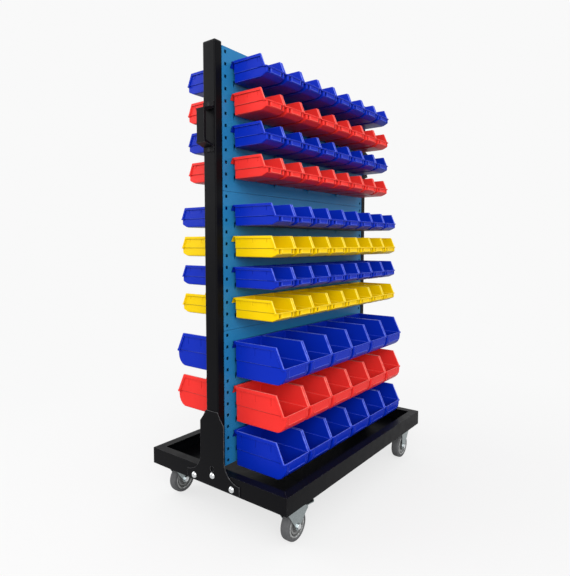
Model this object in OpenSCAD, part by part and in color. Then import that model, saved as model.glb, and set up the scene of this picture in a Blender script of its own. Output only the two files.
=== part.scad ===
// Double-sided trolley for hanging parts bins. A folded tray on four swivel casters carries two
// uprights, with three louvred panels on each face and rows of open-front bins hooked on them.
// X runs along the trolley, Y across it and Z up. The origin is on the floor, below the centre.
// Left is -X, the end with the braked casters. Front is -Y.

/* [Base tray] */
// Length of the base along X
base_l = 970; // [900:1:1300]
// Depth of the base along Y
base_d = 610; // [580:1:800]
// Height of the folded walls
tray_h = 57; // [45:1:90]
// Width of the lip folded inward along the top of the walls
lip_w = 32; // [20:1:45]
// Thickness of the tray's sheet
tray_t = 2; // [1.5:0.1:3]
// Gap left for the welds at the corners of the tray's rails
tray_weld = 0.2; // [0.1:0.05:0.5]

/* [Uprights] */
// Width of an upright along X
upright_w = 32; // [28:1:45]
// Depth of an upright along Y
upright_d = 54; // [50:1:80]
// Wall of the upright's tube
upright_wall = 2; // [1.5:0.1:3]
// Outside corner radius of the tube
upright_r = 5; // [3.5:0.5:8]
// Length of tube that stands above the panels
upright_over = 5; // [2:1:40]
// Visible height of an end cap
cap_h = 6; // [4:0.5:12]
// Bevel round the top of an end cap
cap_bevel = 2.5; // [1:0.5:3.5]
// Length of the end cap's plug inside the tube
cap_plug = 16; // [8:1:30]
// Clearance round the plug
cap_fit = 0.3; // [0.1:0.05:0.6]

/* [Panels] */
// Thickness of a panel's sheet
panel_t = 1.2; // [0.8:0.1:2]
// Gap between the flanges of the front panels and those of the back panels
panel_between = 2; // [1:0.5:20]
// Distance of a panel's face behind the uprights' faces
panel_recess = 1; // [0:0.5:4]
// Gap between one panel and the next above it
panel_gap = 1; // [0.5:0.1:3]
// Clearance between a panel's side flange and the upright
panel_fit = 0.25; // [0:0.05:0.6]
// Side of the square peg holes
hole_s = 10; // [6:0.5:12]
// Distance from one peg hole to the next
hole_pitch = 38; // [25:0.5:50]
// Least distance of a peg hole's centre from the panel's edges
hole_edge = 15; // [10:0.5:20]
// Distance of a panel's screws from its lower and upper edges
screw_inset = 90; // [40:1:120]

/* [Louvres] */
// Distance from one louvre to the next
louvre_pitch = 50; // [48:0.5:60]
// Rise of a louvre's tongue
louvre_h = 22; // [18:0.5:26]
// Lean of the tongue from the vertical, in degrees
louvre_lean = 25; // [22:0.5:28]
// Distance of the first louvre's tip below the panel's top edge
louvre_first = 48; // [40:0.5:60]
// Metal left between the tongues of one louvre
louvre_bridge = 36; // [6:0.5:60]
// Slit at each side of a tongue
louvre_slit = 1; // [0.5:0.1:3]

/* [Small bins] */
// Room that one small or medium bin takes along X
small_pitch = 105; // [90:1:125]
// Height of a small or medium bin
small_h = 68; // [60:1:78]
// Height of a small or medium bin's front lip
small_lip = 30; // [26:1:45]
// Run of the bevel between the front and the floor of a small or medium bin
small_toe = 26; // [12:1:40]
// Rise of that bevel
small_toe_h = 14; // [6:1:24]
// Run of the sloping front edge of a small or medium bin's sides
small_slope = 23; // [12:1:40]
// Height of a small or medium bin's rim above the louvre's tip
small_rise = 5; // [3:0.1:8]
// Depth of a small bin
small_d = 136; // [100:1:160]
// Depth of a medium bin
medium_d = 177; // [150:1:205]

/* [Large bins] */
// Room that one large bin takes along X
large_pitch = 140; // [120:1:160]
// Height of a large bin
large_h = 121; // [105:1:125]
// Height of a large bin's front lip
large_lip = 59; // [48:1:70]
// Radius between the front and the floor of a large bin
large_r = 42; // [20:1:45]
// Run of the sloping front edge of a large bin's sides
large_slope = 36; // [15:1:55]
// Height of a large bin's rim above the louvre's tip
large_rise = 11; // [3:0.1:14]
// Depth of a large bin
large_d = 208; // [180:1:240]

/* [All bins] */
// Wall of a bin
bin_wall = 2; // [1.5:0.1:3]
// Gap between neighbouring bins
bin_gap = 2.5; // [0.5:0.1:4]
// Overhang of the rim along a bin's sides
bin_rim = 3; // [0.5:0.1:4]
// Height of that rim
bin_rim_h = 7; // [3:0.1:10]
// Inset of a bin's sides below the level of its front lip
bin_step = 2; // [0.5:0.1:3]
// Distance of a bin's back from the panel's face
bin_standoff = 14; // [13:0.5:20]
// Thickness of a bin's hook
hook_t = 2; // [1.5:0.1:2.2]
// Thickness of the flange from which the hook hangs
hook_flange = 4.5; // [1.5:0.1:4.5]
// Reach of the hook below the louvre's tip
hook_drop = 13; // [8:0.5:13]
// Clearance between the hook and the louvre's tongue
hook_fit = 0.5; // [0.3:0.05:0.8]
// Height of the hook's flange above the louvre's tip
hook_seat = 0.3; // [0.1:0.05:0.4]
// Inset of the hook from each side of a bin
hook_inset = 1; // [0:1:20]
// Least room between one row of bins and the row above, for lifting bins off
row_room = 22; // [18:1:24]
// Height of the lowest bins above the tray's rim
rim_room = 1; // [0.5:0.5:20]

/* [Handles] */
// Distance of the handle's centre below the top of the tube
handle_drop = 259; // [120:1:600]
// Length of the grip
handle_grip_l = 105; // [90:1:140]
// Width of the grip
handle_grip_w = 32; // [18:1:40]
// Thickness of the grip
handle_grip_t = 9; // [7:0.5:12]
// Reach of the grip from the upright
handle_reach = 38; // [34:1:60]
// Length of each foot along the upright
handle_foot_l = 14; // [12:0.5:24]
// Width of each foot
handle_foot_w = 46; // [30:1:48]
// Thickness of each foot
handle_foot_t = 3.5; // [3:0.1:6]
// Distance along the upright that each leg takes
handle_leg = 10; // [6:0.5:20]

/* [Foot plates] */
// Thickness of a foot plate
foot_t = 3; // [2:0.1:5]
// Height of a foot plate's neck above the tray's rim
foot_h = 198; // [120:1:300]
// Height over which the neck widens to the shoulders
foot_neck = 40; // [20:1:100]
// Half width at the shoulders
foot_shoulder = 54; // [45:1:80]
// Inward bow of the neck's edges
foot_bow = 2; // [0:0.5:4]
// Half width of the skirt on the tray's end
foot_skirt = 120; // [105:1:150]
// Height of the skirt's upright edge
foot_skirt_h = 30; // [15:1:45]
// Height of the foot plate's lower edge above the tray's underside
foot_lift = 4; // [1:1:10]
// Distance of the outer bolts from the centre line
foot_bolt_y = 86; // [75:1:95]
// Height of the outer bolts above the tray's underside
foot_bolt_low = 18; // [15:1:25]
// Height of the middle bolt above the tray's underside
foot_bolt_high = 39; // [30:1:42]
// Height of the spare hole above the middle bolt
foot_spare_z = 22; // [21:1:40]
// Diameter of the spare hole
foot_spare_d = 18; // [8:0.5:20]

/* [Casters] */
// Height from the floor to the tray's underside
caster_h = 128; // [115:1:170]
// Clearance between the tyre and the fork's crown
tyre_room = 10.7; // [8:0.1:20]
// Width of a tyre
wheel_w = 32; // [24:1:36]
// Thickness of a tyre
tyre_t = 12; // [8:0.5:15]
// Thickness of the ring round the rim
rim_ring = 6; // [4:0.5:8]
// Distance of the rim's faces inside the tyre's sides
rim_recess = 1; // [0.5:0.5:3]
// Thickness of the web between the hub and the ring
web_w = 14; // [8:1:18]
// Rounding of the tyre's shoulders
tyre_r = 6; // [3:0.5:8]
// Diameter of the hub
hub_d = 28; // [22:1:34]
// Distance that the hub stands out of the tyre's sides
hub_proud = 1; // [0.5:0.5:3]
// Diameter of the axle
axle_d = 10; // [8:0.5:12]
// Height of the axle's head
axle_head_h = 5; // [4:0.5:8]
// Height of the axle's nut
axle_nut_h = 6; // [4:0.5:8]
// Distance of the axle behind the swivel axis
trail = 30; // [20:1:36]
// Distance of the swivel axis from the base's end
caster_end = 64; // [50:1:90]
// Distance of the swivel axis from the base's side
caster_side = 46; // [42:1:90]
// Length of a caster's top plate
plate_l = 92; // [84:1:98]
// Width of a caster's top plate
plate_w = 66; // [64:1:84]
// Thickness of a caster's top plate
plate_t = 3; // [2:0.5:5]
// Distance of the plate's bolt holes from its edges
plate_edge = 9; // [7.5:0.5:12]
// Diameter of the upper swivel race
race_d = 46; // [40:1:50]
// Height of the upper swivel race
race_h = 10; // [6:0.5:12]
// Diameter of the kingpin
kingpin_d = 12; // [10:0.5:14]
// Diameter of the kingpin's head
kingpin_head_d = 21; // [17:0.5:24]
// Height of the kingpin's head
kingpin_head_h = 5; // [3:0.5:6]
// Thickness of the fork's legs
fork_t = 3; // [2:0.5:4]
// Thickness of the fork's crown
crown_t = 4; // [3:0.5:5]
// Gap between the hub and each leg of the fork
hub_gap = 0.5; // [0.3:0.1:1.5]
// Radius of the fork's eye round the axle
fork_eye_r = 13; // [11:0.5:16]
// Running clearance of axles and kingpins, on the radius
run_fit = 0.08; // [0.02:0.01:0.1]
// Gap between the faces of the swivel race
race_gap = 0.3; // [0.2:0.05:0.5]

/* [Brake pedals] */
// Distance of the pedal's pivot from the tyre's tread
pedal_room = 12.3; // [10:0.1:16]
// Angle of the pedal's pivot above the axle, in degrees
pedal_angle = 42.4; // [40:0.1:46]
// Radius of the pedal's barrel
pedal_r = 5; // [4.5:0.1:5.5]
// Diameter of the pedal's pivot pins
pedal_pin_d = 6; // [4:0.5:7]
// Metal of the fork's ear round a pedal's pin
pedal_ear = 4; // [3:0.5:6]
// Gap between the pedal's barrel and each leg of the fork
pedal_gap = 0.4; // [0.2:0.1:1]
// Length of the pedal from its pivot
pedal_l = 46; // [30:1:60]
// Thickness of the pedal
pedal_t = 3; // [2:0.5:5]
// Height of the pedal's upturned end
pedal_lip = 5; // [2:0.5:10]
// Depth of the pedal's face below the barrel's top
pedal_sink = 1; // [0.5:0.1:2]
// Downward slope of the pedal, in degrees
pedal_slope = 6; // [0:1:15]
// Angle through which the pedal is pressed
pedal_press = 20; // [10:1:25]
// Gap between the brake shoe and the tyre when the pedal is pressed
shoe_gap = 0.3; // [0.2:0.05:1]
// Thickness of the brake shoe
shoe_t = 4; // [3:0.1:4.5]

/* [Fasteners] */
// Diameter of the bolts through the foot plates
foot_bolt_d = 8; // [6:0.5:10]
// Diameter of a foot bolt's domed head
foot_head_d = 22; // [14:0.5:24]
// Height of a foot bolt's domed head
foot_head_h = 7; // [4:0.5:9]
// Height of a foot bolt's nut
foot_nut_h = 6; // [4:0.5:8]
// Diameter of the bolts through the caster plates
plate_bolt_d = 8; // [6:0.5:8]
// Diameter of a caster bolt's head
plate_head_d = 15; // [12:0.5:16]
// Height of a caster bolt's head
plate_head_h = 4; // [3:0.5:6]
// Height of a caster bolt's nut
plate_nut_h = 5; // [4:0.5:6]
// Diameter of the panels' screws
screw_d = 4; // [3:0.5:5]
// Diameter of a panel screw's head
screw_head_d = 8; // [6:0.5:8]
// Height of a panel screw's head
screw_head_h = 2.5; // [1.5:0.1:4]
// Length of a panel screw's shank
screw_l = 9; // [6:0.5:14]
// Diameter of the handles' screws
handle_screw_d = 5; // [4:0.5:6]
// Diameter of a handle screw's countersunk head
handle_head_d = 9; // [8:0.5:10]
// Length of a handle screw
handle_screw_l = 14; // [10:0.5:20]
// Clearance of a bolt in its hole, on the radius
bolt_fit = 0.4; // [0.2:0.05:0.6]
// Clearance of a nut or screw on its thread, on the radius
thread_fit = 0.05; // [0.02:0.01:0.1]
// Length of thread that shows past a nut
bolt_end = 1; // [0.5:0.5:4]

/* [Hidden] */
$fn = 48;

// Overlap of two solids that are joined, and overshoot of a cut past a face
tiny = 0.01;
cut = 1;

// Corner radius of a hexagon head or nut for each millimetre of thread
hex_r = 0.95;

ENDS = ["left", "right"];
FACES = ["front", "back"];
LEVELS = ["lower", "middle", "upper"];
CORNERS = ["front_left", "front_right", "back_left", "back_right"];

// Rows of bins, counted from the top: kind of bin and colour
SMALL = 0;
MEDIUM = 1;
LARGE = 2;
ROW_KIND = [SMALL, SMALL, SMALL, SMALL, MEDIUM, MEDIUM, MEDIUM, MEDIUM, LARGE, LARGE, LARGE];
ROW_COLOUR = ["blue", "red", "blue", "red", "blue", "yellow", "blue", "yellow", "blue", "red", "blue"];
// Rows on the front and on the back, whose lowest louvres are free
FACE_ROWS = [len(ROW_KIND), len(ROW_KIND) - 1];
rows_small = 4;
rows_large = 3;

// Colours
black_paint = [0.10, 0.10, 0.11];
panel_paint = [0.00, 0.40, 0.68];
zinc = [0.66, 0.70, 0.70];
bright_steel = [0.80, 0.81, 0.82];
rubber = [0.42, 0.42, 0.43];
rim_grey = [0.62, 0.63, 0.62];
cap_black = [0.07, 0.07, 0.08];

function bin_colour(name) =
    name == "red" ? [0.92, 0.14, 0.12] : name == "yellow" ? [1.0, 0.82, 0.02] : [0.03, 0.16, 0.85];

// Sizes of each kind of bin
bin_pitch = [small_pitch, small_pitch, large_pitch];
bin_d = [small_d, medium_d, large_d];
bin_h = [small_h, small_h, large_h];
bin_lip = [small_lip, small_lip, large_lip];
bin_slope = [small_slope, small_slope, large_slope];
bin_rise = [small_rise, small_rise, large_rise];

// Base and uprights
rim_z = caster_h + tray_h;
upright_x = base_l / 2 - upright_w / 2;
panel_w = base_l - 2 * upright_w - 2 * panel_fit;
panel_y = upright_d / 2 - panel_recess;
panel_flange = panel_y - panel_between / 2;

// Louvres and panels: each panel is as high as its rows of bins need
step_small = ceil((small_h + row_room) / louvre_pitch);
step_large = ceil((large_h + row_room) / louvre_pitch);
row_step = [step_small, step_small, step_large];
panel_pitch = louvre_pitch * max(rows_small * step_small, rows_large * step_large);
panel_h = panel_pitch - panel_gap;
lowest_tip = rim_z + rim_room + large_h - large_rise;
panel_z = lowest_tip + louvre_first + (rows_large - 1) * step_large * louvre_pitch - panel_pitch;
upright_h = panel_z + len(LEVELS) * panel_pitch + upright_over - rim_z;
louvre_run = louvre_h * tan(louvre_lean);
louvre_count = floor((panel_h - louvre_first - louvre_h - 2 * panel_t) / louvre_pitch) + 1;
bins_room = panel_w - 4 * hole_edge;
louvre_l = small_pitch * floor(bins_room / small_pitch);
tongues = 4;
tongue_pitch = louvre_l / tongues;
hole_count = floor((panel_h - 2 * hole_edge) / hole_pitch) + 1;
flange_screw_y = panel_y - panel_t - (panel_flange - panel_t) / 2;

function panel_top(level) = panel_z + (level + 1) * panel_pitch - panel_gap / 2;
function level_of_row(row) = row < rows_small ? 2 : row < 2 * rows_small ? 1 : 0;
function row_in_panel(row) = row < 2 * rows_small ? row % rows_small : row - 2 * rows_small;
function tip_z(row) =
    panel_z + (level_of_row(row) + 1) * panel_pitch - louvre_first
    - row_in_panel(row) * row_step[ROW_KIND[row]] * louvre_pitch;
function row_top(row) = tip_z(row) + bin_rise[ROW_KIND[row]];
function bins_in_row(kind) = floor(bins_room / bin_pitch[kind]);

// Handles
handle_z = rim_z + upright_h - handle_drop;
handle_half = handle_grip_l / 2 + handle_leg + handle_foot_l;
handle_screw_z = handle_half - handle_foot_l / 2;

// Foot plates
foot_bolts_at = [[-foot_bolt_y, foot_bolt_low], [0, foot_bolt_high], [foot_bolt_y, foot_bolt_low]];

// Casters
race_z = caster_h - plate_t - race_h;
crown_z = race_z - race_gap - crown_t;
wheel_r = (crown_z - tyre_room) / 2;
rim_d = 2 * (wheel_r - tyre_t);
hub_w = wheel_w + 2 * hub_proud;
fork_y = hub_w / 2 + hub_gap;
pedal_x = (wheel_r + pedal_room) * cos(pedal_angle);
pedal_z = (wheel_r + pedal_room) * sin(pedal_angle);
pedal_px = trail + pedal_x;
pedal_pz = wheel_r + pedal_z;
pedal_ear_r = pedal_pin_d / 2 + pedal_ear;

// Length of the brake shoe below the pivot, at which it just clears the tyre when the pedal is pressed
shoe_reach = pedal_x * sin(pedal_press) + pedal_z * cos(pedal_press);
shoe_l = shoe_reach - sqrt(pow(shoe_reach, 2) - pow(wheel_r + pedal_room, 2) + pow(wheel_r + shoe_gap, 2));

function caster_x(i) = (i % 2 == 0 ? -1 : 1) * (base_l / 2 - caster_end);
function caster_y(i) = (i < 2 ? -1 : 1) * (base_d / 2 - caster_side);
function is_braked(i) = i % 2 == 0;

// A box centred on X and Y, standing on z = 0
module slab(x, y, z) {
    translate([-x / 2, -y / 2, 0]) cube([x, y, z]);
}

// A rectangle with round corners, centred
module round_rect(x, y, r) {
    square([x - 2 * r, y], center = true);
    square([x, y - 2 * r], center = true);
    for (sx = [-1, 1], sy = [-1, 1]) {
        translate([sx * (x / 2 - r), sy * (y / 2 - r)]) circle(r);
    }
}

// A cylinder along X that starts at x = 0
module rod_x(r, l) {
    rotate([0, 90, 0]) cylinder(r = r, h = l);
}

// A cylinder along Y, centred on y = 0
module rod_y(r, l) {
    rotate([90, 0, 0]) cylinder(r = r, h = l, center = true);
}

// An outline in Y and Z, extruded along X and centred on x = 0
module along_x(points, l) {
    rotate([90, 0, 90]) linear_extrude(l, center = true) polygon(points);
}

// An outline in X and Z, extruded along Y and centred on y = 0
module along_y(points, l) {
    rotate([90, 0, 0]) linear_extrude(l, center = true) polygon(points);
}

// Places its child at one end, facing outward along +X
module at_end(end) {
    rotate([0, 0, end == "left" ? 180 : 0]) children();
}

// Places its child at one face, facing outward along +Y
module at_face(face) {
    rotate([0, 0, face == "front" ? 180 : 0]) children();
}

// Places its child at one caster, with the trail along +X
module at_caster(i) {
    translate([caster_x(i), caster_y(i), 0]) mirror([i % 2, 0, 0]) mirror([0, floor(i / 2), 0]) children();
}

// Corner holes of a caster's top plate
module at_plate_bolts() {
    for (sx = [-1, 1], sy = [-1, 1]) {
        translate([sx * (plate_l / 2 - plate_edge), sy * (plate_w / 2 - plate_edge), 0]) children();
    }
}

// Floor of the tray, with holes for the caster bolts
module tray_floor() {
    color(black_paint) difference() {
        translate([0, 0, caster_h]) slab(base_l - 2 * tray_t, base_d - 2 * tray_t, tray_t);
        for (i = [0 : len(CORNERS) - 1]) {
            at_caster(i) at_plate_bolts() translate([0, 0, caster_h - cut])
                cylinder(r = plate_bolt_d / 2 + bolt_fit, h = tray_t + 2 * cut);
        }
    }
}

// A strip of width w and height h along the +Y side of an l by d rectangle, mitred at both ends
module mitred(l, d, w, h) {
    x = l / 2;
    y = d / 2;
    linear_extrude(h) polygon([[-x, y], [x, y], [x - w, y - w], [w - x, y - w]]);
}

// One rail of the tray: an upright wall, with a lip folded inward along its top
module tray_rail(l, d) {
    run = l - 2 * tray_weld;
    translate([0, 0, caster_h]) mitred(run, d, tray_t, tray_h);
    translate([0, 0, rim_z - tray_t]) mitred(run, d, lip_w, tray_t);
}

// Four rails round the tray, with holes for the foot plates' bolts in the end ones
module tray_rails() {
    color(black_paint) difference() {
        union() {
            for (face = FACES) at_face(face) tray_rail(base_l, base_d);
            for (end = ENDS) at_end(end) rotate([0, 0, -90]) tray_rail(base_d, base_l);
        }
        for (end = ENDS, at = foot_bolts_at) {
            at_end(end) translate([base_l / 2 - tray_t - cut, at[0], caster_h + at[1]])
                rod_x(foot_bolt_d / 2 + bolt_fit, tray_t + 2 * cut);
        }
    }
}

// Places its child at each panel screw of one end, on the upright's inner face, along +X
module at_panel_screws() {
    for (level = [0 : len(LEVELS) - 1], inset = [screw_inset, panel_pitch - screw_inset], sy = [-1, 1]) {
        translate([base_l / 2 - upright_w, sy * flange_screw_y, panel_z + level * panel_pitch + inset])
            children();
    }
}

// Places its child at each handle screw of one end, on the upright's outer face
module at_handle_screws() {
    for (side = [-1, 1]) {
        translate([base_l / 2, 0, handle_z + side * handle_screw_z]) children();
    }
}

// Rectangular tube that stands on the tray's end lip
module upright(end) {
    color(black_paint) at_end(end) difference() {
        translate([upright_x, 0, rim_z]) linear_extrude(upright_h) difference() {
            round_rect(upright_w, upright_d, upright_r);
            round_rect(upright_w - 2 * upright_wall, upright_d - 2 * upright_wall, upright_r - upright_wall);
        }
        at_panel_screws() translate([-cut, 0, 0]) rod_x(screw_d / 2 + thread_fit, upright_wall + 2 * cut);
        at_handle_screws() translate([-upright_wall - cut, 0, 0])
            rod_x(handle_screw_d / 2 + thread_fit, upright_wall + 2 * cut);
    }
}

// Bevelled end caps, plugged into the tubes
module upright_caps() {
    plug_x = upright_w - 2 * upright_wall - 2 * cap_fit;
    plug_y = upright_d - 2 * upright_wall - 2 * cap_fit;
    plug_r = upright_r - upright_wall - cap_fit;
    top_r = upright_r - cap_bevel;
    for (end = ENDS) {
        color(cap_black) at_end(end) translate([upright_x, 0, rim_z + upright_h]) {
            hull() {
                linear_extrude(cap_h - cap_bevel, $fn = 32) round_rect(upright_w, upright_d, upright_r);
                linear_extrude(cap_h, $fn = 32)
                    round_rect(upright_w - 2 * cap_bevel, upright_d - 2 * cap_bevel, top_r);
            }
            translate([0, 0, -cap_plug]) linear_extrude(cap_plug + tiny) round_rect(plug_x, plug_y, plug_r);
        }
    }
}

// Quarter-circle points from one angle to another
function arc(cx, cy, r, from, to, n) =
    [for (i = [0 : n]) [cx + r * cos(from + (to - from) * i / n), cy + r * sin(from + (to - from) * i / n)]];

// One half of a foot plate's outline, from the top centre down to the bottom centre
function foot_half() =
    let (top = rim_z + foot_h,
         low = caster_h + foot_lift,
         neck = upright_d / 2,
         flare = foot_skirt - foot_shoulder,
         shoulder_z = top - foot_neck)
    concat(
        [
            [neck, top],
            [(neck + foot_shoulder) / 2 - foot_bow, (top + shoulder_z) / 2],
            [foot_shoulder, shoulder_z]
        ],
        arc(foot_skirt, low + foot_skirt_h + flare, flare, 180, 270, 6),
        [[foot_skirt, low]]
    );

function mirrored(points) = [for (i = [len(points) - 1 : -1 : 0]) [-points[i][0], points[i][1]]];

// Hole through a foot plate, at a height above the tray's underside
module foot_hole(y, z, r) {
    translate([base_l / 2 - cut, y, caster_h + z]) rod_x(r, foot_t + 2 * cut);
}

// Plate that ties an upright to the tray's end
module foot_plate(end) {
    half = foot_half();
    color(black_paint) at_end(end) difference() {
        translate([base_l / 2 + foot_t / 2, 0, 0]) along_x(concat(half, mirrored(half)), foot_t);
        for (at = foot_bolts_at) {
            foot_hole(at[0], at[1], foot_bolt_d / 2 + bolt_fit);
        }
        foot_hole(0, foot_bolt_high + foot_spare_z, foot_spare_d / 2);
    }
}

// Bow handle: feet on the upright, sloping legs and a flat grip
module handle(end) {
    h = handle_half;
    grip = handle_grip_l / 2;
    leg = grip + handle_leg;
    inside = handle_reach - handle_grip_t;
    bow = [
        [0, -h], [handle_foot_t, -h], [handle_foot_t, -leg], [handle_reach, -grip],
        [handle_reach, grip], [handle_foot_t, leg], [handle_foot_t, h], [0, h],
        [0, leg - handle_grip_t / 2], [inside, grip - handle_grip_t],
        [inside, -grip + handle_grip_t], [0, -leg + handle_grip_t / 2]
    ];
    wide = handle_foot_w / 2;
    slim = handle_grip_w / 2;
    outline = [
        [-wide, -h], [wide, -h], [wide, -leg], [slim, -grip + handle_grip_t], [slim, grip - handle_grip_t],
        [wide, leg], [wide, h], [-wide, h], [-wide, leg], [-slim, grip - handle_grip_t],
        [-slim, -grip + handle_grip_t], [-wide, -leg]
    ];
    color(black_paint) at_end(end) difference() {
        translate([base_l / 2, 0, handle_z]) intersection() {
            along_y(bow, handle_foot_w);
            translate([handle_reach / 2, 0, 0]) along_x(outline, handle_reach + 2 * cut);
        }
        at_handle_screws() handle_screw(bolt_fit);
    }
}

// Countersunk screw along X, with its head's face on the handle's foot
module handle_screw(fit) {
    shank = handle_screw_d / 2;
    cone = handle_head_d / 2 - shank;
    translate([handle_foot_t, 0, 0]) rotate([0, -90, 0]) {
        cylinder(r1 = handle_head_d / 2 + fit, r2 = shank + fit, h = cone);
        cylinder(r = shank + fit, h = handle_screw_l);
    }
}

module handle_screws() {
    color(cap_black) for (end = ENDS) at_end(end) at_handle_screws() handle_screw(0);
}

// One tongue of a louvre: a strip rooted in the sheet at z = 0 that leans outward as it rises
module tongue() {
    back = panel_y - panel_t;
    neck = panel_t / 4;
    along_x([
        [back + neck, -neck], [panel_y - neck, -neck], [panel_y - neck, 0], [panel_y, 0],
        [panel_y + louvre_run, louvre_h], [back + louvre_run, louvre_h], [back, 0], [back + neck, 0]
    ], tongue_pitch - louvre_bridge - 2 * louvre_slit);
}

// Places its child at each tongue of one panel, at the height of its root
module at_tongues(level) {
    for (k = [0 : louvre_count - 1], i = [0 : tongues - 1]) {
        translate([(i - (tongues - 1) / 2) * tongue_pitch, 0,
            panel_z + (level + 1) * panel_pitch - louvre_first - louvre_h - k * louvre_pitch]) children();
    }
}

// Outline of a panel's box in Y and Z, or with an inset that of the hollow behind its sheet
function panel_box(low, inset) =
    let (front = panel_y - inset, back = front - panel_flange, base = low + inset)
    let (top = low + panel_h - inset)
    [[back, base], [front, base], [front, top], [back, top]];

// Louvred panel with folded flanges and a column of square peg holes at each side
module panel(face, level) {
    low = panel_top(level) - panel_h;
    hole_x = panel_w / 2 - hole_edge;
    hole_low = low + (panel_h - (hole_count - 1) * hole_pitch) / 2;
    color(panel_paint) at_face(face) difference() {
        union() {
            difference() {
                along_x(panel_box(low, 0), panel_w);
                along_x(panel_box(low, panel_t), panel_w - 2 * panel_t);
                at_tongues(level) translate([0, panel_y, 0])
                    slab(tongue_pitch - louvre_bridge, 4 * panel_t, louvre_h + panel_t);
            }
            at_tongues(level) tongue();
        }
        for (sx = [-1, 1], k = [0 : hole_count - 1]) {
            translate([sx * hole_x, panel_y, hole_low + k * hole_pitch - hole_s / 2])
                slab(hole_s, 4 * panel_t, hole_s);
        }
        for (end = ENDS) at_end(end) at_panel_screws() translate([-2 * panel_t - panel_fit, 0, 0])
            rod_x(screw_d / 2 + bolt_fit, 2 * panel_t + panel_fit);
    }
}

// Screws through the panels' side flanges into the uprights
module panel_screws() {
    color(zinc) for (end = ENDS) at_end(end) at_panel_screws() translate([-panel_t - panel_fit, 0, 0]) {
        translate([-screw_head_h, 0, 0]) rod_x(screw_head_d / 2, screw_head_h);
        translate([-tiny, 0, 0]) rod_x(screw_d / 2, screw_l);
    }
}

// A hexagonal nut on z = 0 with a clear thread
module nut(d, h) {
    difference() {
        cylinder(r = hex_r * d, h = h, $fn = 6);
        translate([0, 0, -cut]) cylinder(r = d / 2 + thread_fit, h = h + 2 * cut);
    }
}

// A domed cap of a sphere on z = 0
module dome(d, h) {
    r = (d * d / 4 + h * h) / (2 * h);
    intersection() {
        translate([0, 0, h - r]) sphere(r);
        cylinder(r = d, h = h + cut);
    }
}

// Domed bolts and their nuts through the foot plates and the tray's ends
module foot_bolts() {
    grip = foot_t + tray_t;
    for (end = ENDS, at = foot_bolts_at) {
        color(bright_steel) at_end(end)
            translate([base_l / 2 + foot_t, at[0], caster_h + at[1]]) rotate([0, 90, 0]) {
                dome(foot_head_d, foot_head_h);
                translate([0, 0, -grip - foot_nut_h - bolt_end])
                    cylinder(r = foot_bolt_d / 2, h = grip + foot_nut_h + bolt_end + tiny);
                translate([0, 0, -grip - foot_nut_h]) nut(foot_bolt_d, foot_nut_h);
            }
    }
}

// Bolts down through the tray's floor into the caster plates, with nuts below
module caster_bolts() {
    grip = tray_t + plate_t;
    for (i = [0 : len(CORNERS) - 1]) {
        color(zinc) at_caster(i) at_plate_bolts() translate([0, 0, caster_h + tray_t]) {
            cylinder(r = plate_head_d / 2, h = plate_head_h, $fn = 6);
            translate([0, 0, -grip - plate_nut_h])
                cylinder(r = plate_bolt_d / 2, h = grip + plate_nut_h + tiny);
            translate([0, 0, -grip - plate_nut_h]) nut(plate_bolt_d, plate_nut_h);
        }
    }
}

// Top plates with the upper swivel races
module caster_plates() {
    for (i = [0 : len(CORNERS) - 1]) {
        color(zinc) at_caster(i) difference() {
            union() {
                translate([0, 0, caster_h - plate_t]) slab(plate_l, plate_w, plate_t);
                translate([0, 0, race_z]) cylinder(r = race_d / 2, h = race_h + tiny);
            }
            at_plate_bolts() translate([0, 0, caster_h - plate_t - cut])
                cylinder(r = plate_bolt_d / 2 + bolt_fit, h = plate_t + 2 * cut);
            translate([0, 0, race_z - cut])
                cylinder(r = kingpin_d / 2 + thread_fit, h = race_h + plate_t + 2 * cut);
        }
    }
}

// Headed pins on which the forks swivel, flush with the tops of the plates
module kingpins() {
    head_z = crown_z - race_gap - kingpin_head_h;
    for (i = [0 : len(CORNERS) - 1]) {
        color(zinc) at_caster(i) {
            translate([0, 0, head_z]) cylinder(r = kingpin_head_d / 2, h = kingpin_head_h);
            translate([0, 0, head_z]) cylinder(r = kingpin_d / 2, h = caster_h - head_z);
        }
    }
}

// Side of a fork: from the crown down to the eye, with an ear for the pedal's pin where there is one
module fork_side(braked) {
    crown_r = race_d / 2;
    top = crown_z + crown_t;
    back = trail + fork_eye_r;
    ear = [[pedal_px + pedal_ear_r, pedal_pz], [pedal_px, pedal_pz + pedal_ear_r]];
    along_y(concat(
        [[-crown_r, top], [-crown_r, crown_z - crown_t], [trail - fork_eye_r, wheel_r], [back, wheel_r]],
        braked ? ear : [],
        [[back, top]]
    ), fork_t);
    translate([trail, 0, wheel_r]) rod_y(fork_eye_r, fork_t);
    if (braked) {
        translate([pedal_px, 0, pedal_pz]) rod_y(pedal_ear_r, fork_t);
    }
}

// Fork with its crown, its legs and the bores for kingpin, axle and pedal
module fork(i) {
    braked = is_braked(i);
    color(zinc) at_caster(i) difference() {
        union() {
            for (side = [-1, 1]) translate([0, side * (fork_y + fork_t / 2), 0]) fork_side(braked);
            translate([0, 0, crown_z]) cylinder(r = race_d / 2, h = crown_t);
            translate([-race_d / 4, -fork_y - tiny, crown_z])
                cube([race_d / 4 + trail, 2 * fork_y + 2 * tiny, crown_t]);
        }
        translate([0, 0, crown_z - cut]) cylinder(r = kingpin_d / 2 + run_fit, h = crown_t + 2 * cut);
        translate([trail, 0, wheel_r]) rod_y(axle_d / 2 + thread_fit, 4 * fork_y);
        if (braked) {
            translate([pedal_px, 0, pedal_pz]) rod_y(pedal_pin_d / 2 + run_fit, 4 * fork_y);
        }
    }
}

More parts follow.
